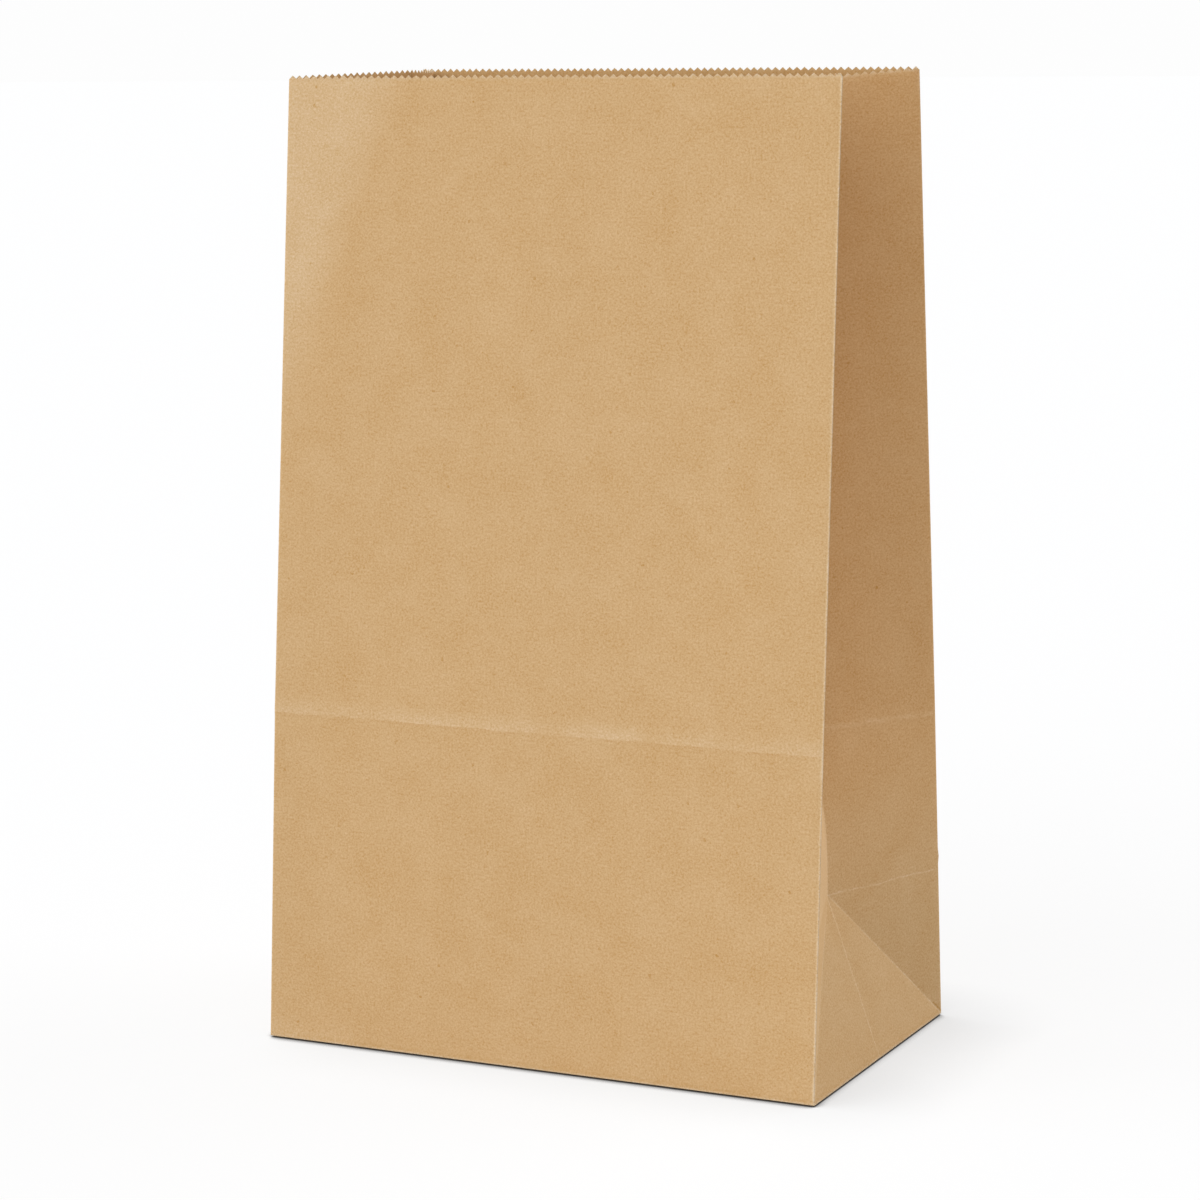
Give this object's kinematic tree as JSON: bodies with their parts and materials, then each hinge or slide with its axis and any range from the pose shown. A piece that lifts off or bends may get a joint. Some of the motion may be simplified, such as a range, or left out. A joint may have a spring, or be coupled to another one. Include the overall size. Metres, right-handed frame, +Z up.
{
  "type": "paper lunch bag",
  "caption": "Plain brown kraft paper lunch bag standing open on a square bottom, with tucked side gussets and a pinked mouth.",
  "frame": {"origin": "middle of the bag's rectangular bottom, on the surface it stands on", "axes": "+Z up through the open mouth, -Y out of the plain front face, +X to the right seen from the front"},
  "size_m": [0.16, 0.0957, 0.2578],
  "materials": {
    "kraft_paper": "matte uncoated kraft paper with a fine fibre grain"
  },
  "bodies": {
    "root": {"paper_bag": "kraft_paper"}
  },
  "joints": []
}
